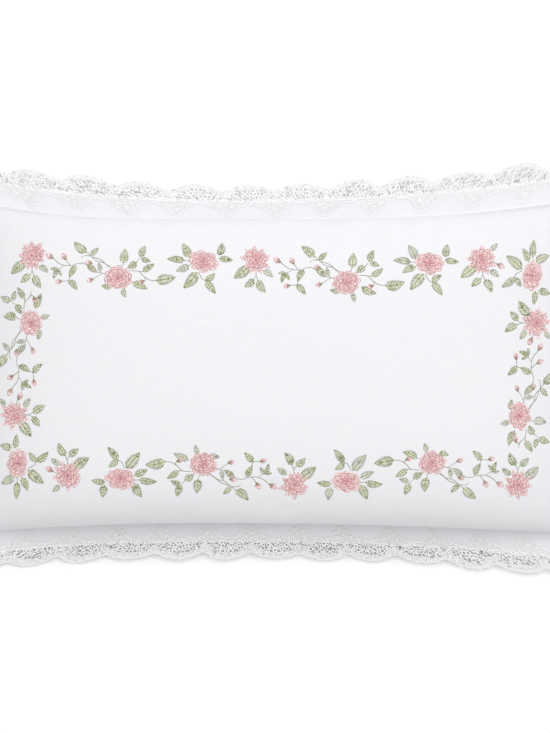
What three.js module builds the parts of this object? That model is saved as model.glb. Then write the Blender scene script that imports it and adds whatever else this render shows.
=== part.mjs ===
// A filled pillow sham lying on its back: a linen cover whose front and back panels run out into a
// flat flange, with a length of scalloped lace sewn along each of the four flange edges.
// Millimetres, +Z up. The origin is the middle of the resting face, +X runs along the long side and
// +Y points to the head edge.
import * as THREE from "three";

// Seam corner from the middle of the sham, and the flange that runs out from the seam.
const SEAM_CORNER = { x: 414, y: 225 };
const FLANGE = { width: 26, cornerFlare: 26, thickness: 2, bend: 0.002, cornerLean: 10, cornerSharpness: 6 };

// The filled pocket: crown above the resting face, seam height, and the roundness of both faces.
const CROWN_HEIGHT = 138;
const SEAM_HEIGHT = { middle: 24, corner: 18, cornerSharpness: 4 };
const FRONT = { flatness: { x: 4.8, y: 4.2 }, shoulder: { head: 0.28, foot: 0.32, side: 0.6 } };
const BACK = { depth: 68, flatness: { x: 3.6, y: 2.2 }, shoulder: { head: 0.8, foot: 0.8, side: 0.8 } };
const HEAD_BULGE = { reach: 3, start: 0.86, cornerSharpness: 4 };

// The lace, measured outward from the flange edge: outer scallops and notches, inner points and hollows.
const LACE = { tip: 25, notch: 17, hollow: 4, point: 21, thickness: 1.2, gap: 0.65 };
const LACE_MITRE = { gap: 0.25, trim: 7, length: 24 };
const LACE_ROWS = { count: 3, open: 1 };
const OPENING = { perRepeat: 6, length: 7, width: 6, outward: 4 };

// The four edges: direction along and outward, how far the filling draws the seam in, how straight that
// leaves its middle, how far along the deepest place lies off the middle as a share of half the edge, how
// late its flange and lace ease out towards the corners, how steeply they lean down from the seam in
// degrees, and the scallops of lace.
const EDGES = [
  {
    name: "head",
    along: [1, 0],
    out: [0, 1],
    drawn: 30,
    straightness: 3.2,
    deepest: -0.1,
    widening: 1.1,
    lean: -16,
    scallops: 13,
  },
  {
    name: "foot",
    along: [-1, 0],
    out: [0, -1],
    drawn: 16,
    straightness: 2.2,
    deepest: 0.16,
    widening: 4,
    lean: 13,
    scallops: 14,
  },
  {
    name: "left",
    along: [0, 1],
    out: [-1, 0],
    drawn: 4,
    straightness: 2,
    deepest: 0,
    widening: 4,
    lean: 15,
    scallops: 8,
  },
  {
    name: "right",
    along: [0, -1],
    out: [1, 0],
    drawn: 4,
    straightness: 2,
    deepest: 0,
    widening: 4,
    lean: 15,
    scallops: 8,
  },
];

// Ripples of the flange and its lace: the edge, the place along it from its middle, half width and lift.
const RIPPLES = [
  { edge: "head", at: -300, width: 95, lift: 3.0 },
  { edge: "head", at: -120, width: 80, lift: -2.2 },
  { edge: "head", at: 60, width: 90, lift: 2.0 },
  { edge: "head", at: 250, width: 85, lift: -2.6 },
  { edge: "foot", at: -290, width: 80, lift: 2.4 },
  { edge: "foot", at: -90, width: 95, lift: -2.0 },
  { edge: "foot", at: 110, width: 80, lift: 2.6 },
  { edge: "foot", at: 300, width: 85, lift: -2.8 },
  { edge: "left", at: -110, width: 75, lift: 2.4 },
  { edge: "left", at: 90, width: 80, lift: -2.2 },
  { edge: "right", at: -80, width: 80, lift: -2.4 },
  { edge: "right", at: 120, width: 75, lift: 2.2 },
];
const RIPPLE_CORNER_SHARPNESS = 8;

// Cells of the cover's faces along X and Y, and the share by which they crowd towards the seam.
const COVER_CELLS = { x: 36, y: 22 };
const CELL_CROWDING = 0.25;

const LINEN = { color: 0xf4f4f6, roughness: 0.9, metalness: 0 };
const COTTON_LACE = { color: 0xf7f7f7, roughness: 0.95, metalness: 0 };

const edgeNamed = Object.fromEntries(EDGES.map((edge) => [edge.name, edge]));

// Half length of an edge along itself and its distance from the middle, both at the seam's corners.
function edgeSpan(edge) {
  const lengthwise = edge.along[0] !== 0;
  return {
    half: lengthwise ? SEAM_CORNER.x : SEAM_CORNER.y,
    reach: lengthwise ? SEAM_CORNER.y : SEAM_CORNER.x,
  };
}

// How far a share -1 to 1 of the way along an edge lies from its deepest place, up to 1 at both corners.
function fromDeepest(edge, share) {
  return Math.abs(share - edge.deepest * (1 - share * share));
}

// How far the filling draws an edge's seam in at a share -1 to 1 of the way along it.
function drawnIn(edge, share) {
  return edge.drawn * (1 - fromDeepest(edge, share) ** edge.straightness);
}

// How much further out a run from the seam reaches where the flange and its lace ease out to the corners.
function flareAt(edge, share, run) {
  const flare = FLANGE.cornerFlare * fromDeepest(edge, share) ** edge.widening;
  return (flare * run) / (FLANGE.width + LACE.tip);
}

// How steeply the flange leans down at a share -1 to 1 of the way along an edge. The corners agree.
function leanAt(edge, share) {
  const corner = Math.abs(share) ** FLANGE.cornerSharpness;
  return THREE.MathUtils.degToRad(edge.lean + (FLANGE.cornerLean - edge.lean) * corner);
}

// A place in plan on an edge's flange and lace, at a run outward from the seam.
function bandPoint(edge, share, run, mitreGap = 0) {
  const { half, reach } = edgeSpan(edge);
  const spread = (run + flareAt(edge, share, run)) * Math.cos(leanAt(edge, share));
  const along = share * (half + spread - mitreGap);
  const out = reach + spread - drawnIn(edge, share);
  return [edge.along[0] * along + edge.out[0] * out, edge.along[1] * along + edge.out[1] * out];
}

// Middle height of the flange and of the lace that carries on from it.
function bandHeight(edge, share, run) {
  const drop = SEAM_HEIGHT.middle - SEAM_HEIGHT.corner;
  const seam = SEAM_HEIGHT.middle - drop * Math.abs(share) ** SEAM_HEIGHT.cornerSharpness;
  const freedom = (run / (FLANGE.width + LACE.tip)) * (1 - Math.abs(share) ** RIPPLE_CORNER_SHARPNESS);
  let lift = 0;
  for (const ripple of RIPPLES) {
    if (ripple.edge !== edge.name) continue;
    const away = (share * edgeSpan(edge).half - ripple.at) / ripple.width;
    lift += ripple.lift * Math.exp(-away * away);
  }
  return seam - run * Math.sin(leanAt(edge, share)) - FLANGE.bend * run * run + lift * freedom;
}

// Share of a face's rise that is left at a place across the pocket, 1 in the middle and 0 at the seam.
function swell(face, u, v) {
  const lengthwise = (1 - Math.abs(u) ** face.flatness.x) ** face.shoulder.side;
  const crosswise = (1 - Math.abs(v) ** face.flatness.y) ** (v > 0 ? face.shoulder.head : face.shoulder.foot);
  return lengthwise * crosswise;
}

// The pocket in plan, u and v from -1 to 1, meeting the seam all round.
function pocketPlan(u, v) {
  const drawnAlong = u > 0 ? drawnIn(edgeNamed.right, -v) : drawnIn(edgeNamed.left, v);
  const drawnAcross = v > 0 ? drawnIn(edgeNamed.head, u) : drawnIn(edgeNamed.foot, -u);
  const x = u * (SEAM_CORNER.x - drawnAlong * u * u);
  const y = v * (SEAM_CORNER.y - drawnAcross * v * v);
  return [x, y];
}

function pocketSeamHeight(u, v) {
  const drop = SEAM_HEIGHT.middle - SEAM_HEIGHT.corner;
  return SEAM_HEIGHT.middle - drop * Math.abs(u * v) ** SEAM_HEIGHT.cornerSharpness;
}

// The front face, which stands a little proud of the seam along the head edge.
function frontPoint(u, v) {
  const [x, y] = pocketPlan(u, v);
  const rise = CROWN_HEIGHT - SEAM_HEIGHT.middle - FLANGE.thickness / 2;
  const past = THREE.MathUtils.clamp((v - HEAD_BULGE.start) / (1 - HEAD_BULGE.start), 0, 1);
  const bulge = HEAD_BULGE.reach * Math.sin(Math.PI * past) * (1 - Math.abs(u) ** HEAD_BULGE.cornerSharpness);
  return [x, y + bulge, pocketSeamHeight(u, v) + FLANGE.thickness / 2 + rise * swell(FRONT, u, v)];
}

// The back face, pressed flat where the sham rests.
function backPoint(u, v) {
  const [x, y] = pocketPlan(u, v);
  const z = pocketSeamHeight(u, v) - FLANGE.thickness / 2 - BACK.depth * swell(BACK, u, v);
  return [x, y, Math.max(z, 0)];
}

// Collects points and faces of one closed solid.
class SolidBuilder {
  constructor() {
    this.positions = [];
    this.indices = [];
  }

  point(x, y, z) {
    this.positions.push(x, y, z);
    return this.positions.length / 3 - 1;
  }

  quad(a, b, c, d) {
    this.indices.push(a, b, c, a, c, d);
  }

  geometry() {
    const made = new THREE.BufferGeometry();
    made.setAttribute("position", new THREE.Float32BufferAttribute(this.positions, 3));
    made.setIndex(this.indices);
    made.computeVertexNormals();
    return made;
  }
}

function crowded(index, count) {
  const even = (2 * index) / count - 1;
  return even * (1 + CELL_CROWDING - CELL_CROWDING * even * even);
}

// Grid of points over the pocket, one row for each v.
function pocketGrid(solid, pointAt) {
  return Array.from({ length: COVER_CELLS.y + 1 }, (_, j) =>
    Array.from({ length: COVER_CELLS.x + 1 }, (_, i) =>
      solid.point(...pointAt(crowded(i, COVER_CELLS.x), crowded(j, COVER_CELLS.y))),
    ),
  );
}

// Walks the seam anticlockwise and names each grid place's edge and share along that edge.
function seamWalk() {
  const { x: nx, y: ny } = COVER_CELLS;
  const walk = [];
  for (let i = 0; i < nx; i++) walk.push({ i, j: 0, edge: edgeNamed.foot, share: -crowded(i, nx) });
  for (let j = 0; j < ny; j++) walk.push({ i: nx, j, edge: edgeNamed.right, share: -crowded(j, ny) });
  for (let i = nx; i > 0; i--) walk.push({ i, j: ny, edge: edgeNamed.head, share: crowded(i, nx) });
  for (let j = ny; j > 0; j--) walk.push({ i: 0, j, edge: edgeNamed.left, share: crowded(j, ny) });
  return walk;
}

// Front and back panels sewn together at the seam and running out into the flange.
function coverGeometry() {
  const solid = new SolidBuilder();
  const front = pocketGrid(solid, frontPoint);
  const back = pocketGrid(solid, backPoint);
  for (let j = 0; j < COVER_CELLS.y; j++) {
    for (let i = 0; i < COVER_CELLS.x; i++) {
      solid.quad(front[j][i], front[j][i + 1], front[j + 1][i + 1], front[j + 1][i]);
      solid.quad(back[j][i], back[j + 1][i], back[j + 1][i + 1], back[j][i + 1]);
    }
  }
  const rim = seamWalk().map(({ i, j, edge, share }) => {
    const [x, y] = bandPoint(edge, share, FLANGE.width);
    const z = bandHeight(edge, share, FLANGE.width);
    return {
      seamFront: front[j][i],
      seamBack: back[j][i],
      edgeFront: solid.point(x, y, z + FLANGE.thickness / 2),
      edgeBack: solid.point(x, y, z - FLANGE.thickness / 2),
    };
  });
  rim.forEach((here, k) => {
    const next = rim[(k + 1) % rim.length];
    solid.quad(here.seamFront, here.edgeFront, next.edgeFront, next.seamFront);
    solid.quad(here.edgeFront, here.edgeBack, next.edgeBack, next.edgeFront);
    solid.quad(here.edgeBack, here.seamBack, next.seamBack, next.edgeBack);
  });
  return solid.geometry();
}

// Columns of the lace along one edge, in scallops counted from its start, with the open cells marked.
function laceColumns(edge) {
  const pitch = (2 * (edgeSpan(edge).half + FLANGE.width)) / edge.scallops;
  const halfOpening = OPENING.length / 2 / pitch;
  const columns = [{ at: 0, opens: false }];
  for (let scallop = 0; scallop < edge.scallops; scallop++) {
    for (let hole = 0; hole < OPENING.perRepeat; hole++) {
      const middle = scallop + (hole + 0.5) / OPENING.perRepeat;
      if (hole === OPENING.perRepeat / 2) columns.push({ at: scallop + 0.5, opens: false });
      columns.push({ at: middle - halfOpening, opens: true }, { at: middle + halfOpening, opens: false });
    }
  }
  columns.push({ at: edge.scallops, opens: false });
  return columns;
}

// Runs from the seam to the lace's inner edge, its row of openings and its scalloped outer edge.
function laceRuns(edge, at) {
  const lobe = Math.abs(Math.cos(Math.PI * at));
  const share = (2 * at) / edge.scallops - 1;
  const fromCorner = Math.min(((1 - Math.abs(share)) * edgeSpan(edge).half) / LACE_MITRE.length, 1);
  const trim = LACE_MITRE.trim * (1 - fromCorner) ** 2;
  const outer = FLANGE.width + LACE.notch + (LACE.tip - LACE.notch) * lobe - trim;
  const inner = FLANGE.width - LACE.hollow - (LACE.point - LACE.hollow) * (1 - lobe);
  const middle = (outer + inner) / 2 + OPENING.outward;
  return [inner, middle - OPENING.width / 2, middle + OPENING.width / 2, outer];
}

// One length of lace lying on its flange edge, mitred at both ends, with its largest openings cut through.
function laceGeometry(edge) {
  const solid = new SolidBuilder();
  const columns = laceColumns(edge);
  const underside = FLANGE.thickness / 2 + LACE.gap;
  const grid = columns.map(({ at }) => {
    const share = (2 * at) / edge.scallops - 1;
    return laceRuns(edge, at).map((run) => {
      const [x, y] = bandPoint(edge, share, run, LACE_MITRE.gap);
      const z = bandHeight(edge, share, run) + underside;
      return { upper: solid.point(x, y, z + LACE.thickness), lower: solid.point(x, y, z) };
    });
  });
  const lastColumn = columns.length - 2;
  const isCloth = (column, row) =>
    column >= 0 &&
    column <= lastColumn &&
    row >= 0 &&
    row < LACE_ROWS.count &&
    !(columns[column].opens && row === LACE_ROWS.open);
  const wall = (from, to) => solid.quad(from.upper, from.lower, to.lower, to.upper);
  for (let c = 0; c <= lastColumn; c++) {
    for (let r = 0; r < LACE_ROWS.count; r++) {
      if (!isCloth(c, r)) continue;
      const [a, b, d, e] = [grid[c][r], grid[c + 1][r], grid[c + 1][r + 1], grid[c][r + 1]];
      solid.quad(a.upper, b.upper, d.upper, e.upper);
      solid.quad(a.lower, e.lower, d.lower, b.lower);
      if (!isCloth(c, r - 1)) wall(a, b);
      if (!isCloth(c + 1, r)) wall(b, d);
      if (!isCloth(c, r + 1)) wall(d, e);
      if (!isCloth(c - 1, r)) wall(e, a);
    }
  }
  return solid.geometry();
}

function clothMesh(name, geometry, cloth) {
  const mesh = new THREE.Mesh(geometry, new THREE.MeshStandardMaterial(cloth));
  mesh.name = name;
  return mesh;
}

const sham = new THREE.Group();
sham.add(clothMesh("sham_cover", coverGeometry(), LINEN));
for (const edge of EDGES) sham.add(clothMesh(`lace_${edge.name}`, laceGeometry(edge), COTTON_LACE));

export default sham;
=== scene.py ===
"""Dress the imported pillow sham: a filled linen cover, its galloon lace and its embroidered roses.

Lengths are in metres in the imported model's frame: +X along the sham's long side, +Y to its head edge and
+Z up out of the embroidered face.
"""
import logging
import math
from collections.abc import Mapping, Sequence
from dataclasses import dataclass, field
from enum import Enum
from typing import Any

import bpy
import numpy as np
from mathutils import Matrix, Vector
from mathutils.bvhtree import BVHTree


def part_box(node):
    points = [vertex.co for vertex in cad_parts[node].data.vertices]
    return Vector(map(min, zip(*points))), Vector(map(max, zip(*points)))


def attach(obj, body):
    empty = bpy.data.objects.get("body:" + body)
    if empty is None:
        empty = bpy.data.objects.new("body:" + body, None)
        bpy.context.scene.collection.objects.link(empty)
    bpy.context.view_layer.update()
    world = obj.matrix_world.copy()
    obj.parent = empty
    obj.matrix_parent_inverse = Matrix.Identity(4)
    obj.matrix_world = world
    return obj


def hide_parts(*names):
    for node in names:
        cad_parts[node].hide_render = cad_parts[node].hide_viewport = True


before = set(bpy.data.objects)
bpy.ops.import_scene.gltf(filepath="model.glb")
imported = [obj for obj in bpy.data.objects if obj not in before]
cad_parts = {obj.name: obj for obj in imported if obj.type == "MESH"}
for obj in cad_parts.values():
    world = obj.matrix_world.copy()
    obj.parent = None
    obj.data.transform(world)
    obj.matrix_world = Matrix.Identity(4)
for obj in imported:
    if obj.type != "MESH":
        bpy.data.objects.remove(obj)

Array = np.ndarray
LOG = logging.getLogger("pillow_sham")
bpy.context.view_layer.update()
MM = 0.001
IMAGE_HEIGHT = 733


def linear(red: float, green: float, blue: float) -> tuple[float, float, float, float]:
    """Turn a screen colour of 0 to 255 into the linear colour of a shader socket.

    Args:
        red: The red part.
        green: The green part.
        blue: The blue part.

    Returns:
        The linear colour, opaque.
    """
    parts = []
    for value in (red, green, blue):
        share = value / 255
        parts.append(share / 12.92 if share <= 0.04045 else ((share + 0.055) / 1.055) ** 2.4)
    return (parts[0], parts[1], parts[2], 1.0)


def smooth_path(points: Sequence[tuple[float, float]], step: float) -> Array:
    """Run a smooth line through a few points.

    Args:
        points: The points that the line passes through.
        step: The spacing of the line's own points.

    Returns:
        The line's points, evenly spaced.
    """
    knots = np.array(points, float)
    if len(knots) > 2:
        padded = np.vstack([2 * knots[0] - knots[1], knots, 2 * knots[-1] - knots[-2]])
        t = np.linspace(0, 1, 12, endpoint=False)[:, None]
        parts = []
        for before, start, end, after in zip(padded, padded[1:], padded[2:], padded[3:]):
            bend = 2 * before - 5 * start + 4 * end - after
            twist = -before + 3 * start - 3 * end + after
            parts.append(0.5 * (2 * start + (end - before) * t + bend * t**2 + twist * t**3))
        knots = np.vstack([*parts, knots[-1:]])
    reach = np.concatenate([[0], np.cumsum(np.linalg.norm(np.diff(knots, axis=0), axis=1))])
    count = max(int(round(reach[-1] / step)), 1)
    at = np.linspace(0, reach[-1], count + 1)
    return np.stack([np.interp(at, reach, knots[:, 0]), np.interp(at, reach, knots[:, 1])], axis=-1)


def turning(degrees: float) -> Array:
    """Give the matrix that turns rows of plan points anticlockwise."""
    angle = math.radians(degrees)
    return np.array([[math.cos(angle), math.sin(angle)], [-math.sin(angle), math.cos(angle)]])


def read_points(mesh: bpy.types.Mesh, what: str = "co") -> Array:
    """Read the places of a mesh's points, or their normals."""
    values = np.empty(len(mesh.vertices) * 3)
    mesh.vertices.foreach_get(what, values)
    return values.reshape(-1, 3)


def write_points(mesh: bpy.types.Mesh, points: Array) -> None:
    """Move a mesh's points to these places."""
    mesh.vertices.foreach_set("co", points.ravel())


class MeshDraft:
    """The points and faces of one piece, collected as arrays before its mesh is made."""

    def __init__(self) -> None:
        """Start with nothing."""
        self.points: list[Array] = []
        self.faces: list[list[int]] = []
        self.count = 0

    def add(self, points: Array, *faces: Array) -> None:
        """Add a patch.

        Args:
            points: The patch's points, of any leading shape.
            faces: Arrays of faces, as indices into the patch's points.
        """
        flat = points.reshape(-1, 3)
        for group in faces:
            self.faces.extend((group.reshape(-1, group.shape[-1]) + self.count).tolist())
        self.points.append(flat)
        self.count += len(flat)

    def tubes(self, paths: Array, radius: float, squash: float = 1.0, closed: bool = False) -> None:
        """Add tubes of three sides with a flat top, along lines of equal point counts.

        Args:
            paths: The lines, as an array of lines, points and coordinates.
            radius: The tubes' radius.
            squash: The tubes' height as a share of their width.
            closed: Whether each line joins up with its own start.
        """
        lines, stations = paths.shape[:2]
        if closed:
            tangent = np.roll(paths, -1, axis=1) - np.roll(paths, 1, axis=1)
        else:
            tangent = np.gradient(paths, axis=1)
        tangent /= np.linalg.norm(tangent, axis=-1, keepdims=True) + 1e-12
        side = np.cross(tangent, (0.0, 0.0, 1.0))
        side /= np.linalg.norm(side, axis=-1, keepdims=True) + 1e-12
        normal = np.cross(side, tangent)
        angle = np.radians([30.0, 150.0, 270.0])
        across = np.cos(angle)[:, None] * side[:, :, None]
        upward = np.sin(angle)[:, None] * squash * normal[:, :, None]
        points = paths[:, :, None] + radius * (across + upward)
        index = np.arange(lines * stations * 3).reshape(lines, stations, 3)
        here = index if closed else index[:, :-1]
        ahead = np.roll(index, -1, axis=1) if closed else index[:, 1:]
        walls = np.stack([here, ahead, np.roll(ahead, -1, axis=2), np.roll(here, -1, axis=2)], axis=-1)
        caps = () if closed else (index[:, 0], index[:, -1, ::-1])
        self.add(points, walls, *caps)

    def piece(self, name: str, material: bpy.types.Material, smooth: bool = True) -> bpy.types.Object:
        """Make the piece.

        Args:
            name: The piece's name.
            material: Its finish.
            smooth: Whether its faces are shaded smoothly.

        Returns:
            The new object, linked into the scene.
        """
        mesh = bpy.data.meshes.new(name)
        mesh.from_pydata(np.concatenate(self.points).tolist(), [], self.faces)
        mesh.polygons.foreach_set("use_smooth", np.full(len(mesh.polygons), smooth))
        mesh.materials.append(material)
        mesh.update()
        piece = bpy.data.objects.new(name, mesh)
        bpy.context.scene.collection.objects.link(piece)
        return piece


class Shade:
    """A socket of a shader: operators on it add Math nodes."""

    def __init__(self, bench: "Bench", socket: bpy.types.NodeSocket) -> None:
        """Keep the socket and the bench that it is on."""
        self.bench = bench
        self.socket = socket

    def __add__(self, other: "Shade | float") -> "Shade":
        """Add."""
        return self.bench.maths("ADD", self, other)

    def __radd__(self, other: float) -> "Shade":
        """Add to a number."""
        return self.bench.maths("ADD", other, self)

    def __sub__(self, other: "Shade | float") -> "Shade":
        """Take away."""
        return self.bench.maths("SUBTRACT", self, other)

    def __rsub__(self, other: float) -> "Shade":
        """Take away from a number."""
        return self.bench.maths("SUBTRACT", other, self)

    def __mul__(self, other: "Shade | float") -> "Shade":
        """Multiply."""
        return self.bench.maths("MULTIPLY", self, other)

    def __rmul__(self, other: float) -> "Shade":
        """Multiply a number."""
        return self.bench.maths("MULTIPLY", other, self)

    def __abs__(self) -> "Shade":
        """Drop the sign."""
        return self.bench.maths("ABSOLUTE", self)

    def sine(self) -> "Shade":
        """Take the sine."""
        return self.bench.maths("SINE", self)

    def held(self) -> "Shade":
        """Hold between 0 and 1."""
        return self.bench.node("ShaderNodeClamp", {}, {"Value": self})


class Bench:
    """Puts together the nodes of one finish."""

    def __init__(self, name: str) -> None:
        """Start an empty material of this name."""
        self.material = bpy.data.materials.new(name)
        self.material.use_nodes = True
        self.tree = self.material.node_tree
        self.tree.nodes.clear()

    def node(
        self,
        kind: str,
        settings: Mapping[str, Any],
        inputs: Mapping[int | str, Any],
        output: int | str = 0,
    ) -> Shade:
        """Add a node.

        Args:
            kind: The node's type.
            settings: Its own settings, set first.
            inputs: Values or links of its sockets.
            output: The socket to hand back.

        Returns:
            The output socket.
        """
        node = self.tree.nodes.new(kind)
        for name, value in settings.items():
            setattr(node, name, value)
        for key, value in inputs.items():
            if isinstance(value, Shade):
                self.tree.links.new(value.socket, node.inputs[key])
            else:
                node.inputs[key].default_value = value
        return Shade(self, node.outputs[output])

    def maths(self, operation: str, *values: Shade | float) -> Shade:
        """Add a Math node on these values."""
        return self.node("ShaderNodeMath", {"operation": operation}, dict(enumerate(values)))

    def where(self) -> Shade:
        """Give the place on the piece, in its own frame."""
        return self.node("ShaderNodeTexCoord", {}, {}, "Object")

    def noise(self, where: Shade, scale: tuple[float, float, float], detail: float = 2.0) -> Shade:
        """Add noise.

        Args:
            where: The place on the piece.
            scale: Noise cells for each metre, along each direction.
            detail: The noise's detail.

        Returns:
            The noise, around 0.5.
        """
        spot = self.node("ShaderNodeVectorMath", {"operation": "MULTIPLY"}, {0: where, 1: scale})
        return self.node("ShaderNodeTexNoise", {}, {"Vector": spot, "Scale": 1.0, "Detail": detail})

    def blend(self, share: Shade, low: tuple[float, ...] | Shade, high: tuple[float, ...]) -> Shade:
        """Mix two colours.

        Args:
            share: How much of the second colour.
            low: The first colour.
            high: The second colour.

        Returns:
            The mixed colour.
        """
        settings = {"data_type": "RGBA", "clamp_factor": True}
        return self.node("ShaderNodeMix", settings, {0: share, 6: low, 7: high}, 2)

    def finish(self, height: Shade | None, depth: float, inputs: Mapping[str, Any]) -> bpy.types.Material:
        """Close the material with its surface shader.

        Args:
            height: The relief, from 0 to 1, or none.
            depth: The relief's depth in metres.
            inputs: Values or links of the surface shader's sockets.

        Returns:
            The material.
        """
        sockets = dict(inputs)
        if height is not None:
            relief = {"Height": height, "Distance": depth, "Strength": 1.0}
            sockets["Normal"] = self.node("ShaderNodeBump", {}, relief)
        surface = self.node("ShaderNodeBsdfPrincipled", {}, sockets)
        output = self.tree.nodes.new("ShaderNodeOutputMaterial")
        self.tree.links.new(surface.socket, output.inputs["Surface"])
        return self.material


@dataclass(frozen=True)
class LinenFinish:
    """White slub linen: a plain weave with a thicker, paler yarn here and there."""

    name: str = "white_slub_linen"
    light: tuple[float, float, float] = (239, 239, 241)
    middle: tuple[float, float, float] = (233, 233, 236)
    dark: tuple[float, float, float] = (226, 226, 230)
    yarn: float = 0.9 * MM
    slub_length: float = 26 * MM
    slub_thickness: float = 1.7 * MM
    relief: float = 0.22 * MM

    def material(self) -> bpy.types.Material:
        """Make the linen, with its yarns laid by the cloth's own flat places."""
        bench = Bench(self.name)
        cloth = bench.node("ShaderNodeAttribute", {"attribute_name": "cloth"}, {}, "Vector")
        across = bench.node("ShaderNodeSeparateXYZ", {}, {0: cloth}, "X")
        along = bench.node("ShaderNodeSeparateXYZ", {}, {0: cloth}, "Y")
        weft = bench.noise(cloth, (1 / self.slub_length, 1 / self.slub_thickness, 1.0), 1.0)
        warp = bench.noise(cloth, (1 / self.slub_thickness, 1.6 / self.slub_length, 1.0), 1.0)
        patch = bench.noise(cloth, (14.0, 14.0, 1.0), 1.0)
        fine = bench.noise(cloth, (120.0, 1100.0, 1.0), 1.0)
        often = 0.1 * (patch - 0.5)
        thick = ((weft - 0.63 + often) * 8.0).held()
        upright = ((warp - 0.66 + often) * 8.0).held()
        thin = ((0.36 - weft) * 6.0).held()
        turn = math.pi / self.yarn
        weave = abs((across * turn).sine() * (along * turn).sine())
        shadow = (0.5 * thin + 0.35 * (fine - 0.5)).held()
        ground = bench.blend(shadow, linear(*self.middle), linear(*self.dark))
        colour = bench.blend((thick + 0.7 * upright).held(), ground, linear(*self.light))
        height = 0.3 * weave + 0.5 * thick + 0.35 * upright + 0.12 * fine
        rough = 0.86 + 0.08 * weave
        return bench.finish(
            height,
            self.relief,
            {"Base Color": colour, "Roughness": rough, "Specular IOR Level": 0.2, "Sheen Weight": 0.08},
        )


@dataclass(frozen=True)
class CottonFinish:
    """Soft white cotton of the lace, a little uneven from its spun threads."""

    name: str = "white_cotton_lace"
    light: tuple[float, float, float] = (249, 249, 249)
    dark: tuple[float, float, float] = (241, 241, 242)
    relief: float = 0.15 * MM

    def material(self) -> bpy.types.Material:
        """Make the cotton, uneven at the scale of its threads."""
        bench = Bench(self.name)
        where = bench.where()
        tone = bench.noise(where, (260.0, 260.0, 260.0), 2.0)
        fuzz = bench.noise(where, (1800.0, 1800.0, 1800.0), 2.0)
        colour = bench.blend((tone * 1.6 - 0.2).held(), linear(*self.dark), linear(*self.light))
        rough = 0.85 + 0.1 * fuzz
        return bench.finish(
            fuzz,
            self.relief,
            {"Base Color": colour, "Roughness": rough, "Specular IOR Level": 0.2, "Sheen Weight": 0.1},
        )


@dataclass(frozen=True)
class ThreadFinish:
    """Lustrous embroidery thread of one dye lot."""

    name: str
    colour: tuple[float, float, float]
    shadow: tuple[float, float, float]
    relief: float = 0.12 * MM

    def material(self) -> bpy.types.Material:
        """Make the thread, with its uneven dye and twisted strands."""
        bench = Bench(self.name)
        where = bench.where()
        dye = bench.noise(where, (220.0, 220.0, 60.0), 2.0)
        strands = bench.noise(where, (1600.0, 1600.0, 900.0), 1.0)
        share = (0.5 + 2.4 * (dye - 0.5) + 0.8 * (strands - 0.5)).held()
        colour = bench.blend(share, linear(*self.shadow), linear(*self.colour))
        rough = 0.42 + 0.16 * strands
        return bench.finish(
            strands,
            self.relief,
            {"Base Color": colour, "Roughness": rough, "Specular IOR Level": 0.35, "Sheen Weight": 0.05},
        )


@dataclass(frozen=True)
class FloorFinish:
    """A plain matt finish of the studio's floor, or of the grey sheet on it that is painted shade under the
    lace.
    """

    name: str = "pale_studio_floor"
    colour: tuple[float, float, float] = (255, 255, 255)

    def material(self) -> bpy.types.Material:
        """Make the floor, matt and a little uneven."""
        bench = Bench(self.name)
        where = bench.where()
        cloudy = bench.noise(where, (3.0, 3.0, 3.0), 2.0)
        rough = 0.88 + 0.1 * cloudy
        inputs = {"Base Color": linear(*self.colour), "Roughness": rough, "Specular IOR Level": 0.05}
        return bench.finish(None, 0.0, inputs)


@dataclass(frozen=True)
class Ripple:
    """A soft wave of the flange: its place along the edge, its width and its lift at the lace's tips."""

    at: float
    width: float
    lift: float


@dataclass(frozen=True)
class Edge:
    """One edge of the sham: its directions in plan and what shapes its flange and lace.

    What isn't given is that of a short side.
    """

    name: str
    along: tuple[int, int]
    out: tuple[int, int]
    half: float
    reach: float
    ripples: tuple[Ripple, ...]
    drawn: float = 4 * MM
    straightness: float = 2
    deepest: float = 0
    widening: float = 4
    lean: float = 15
    scallops: int = 8

    def from_deepest(self, share: Array) -> Array:
        """Give how far places of -1 to 1 along the edge are from its deepest place, up to 1."""
        return np.abs(share - self.deepest * (1 - share**2))

    def plan(self, along: Array, out: Array) -> tuple[Array, Array]:
        """Turn distances along and out from the sham's middle into the plan's x and y."""
        x = along * self.along[0] + out * self.out[0]
        y = along * self.along[1] + out * self.out[1]
        return x, y

    def drawn_in(self, share: Array) -> Array:
        """Give how far the filling draws the seam in, at places of -1 to 1 along the edge."""
        return self.drawn * (1 - self.from_deepest(share) ** self.straightness)


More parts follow.
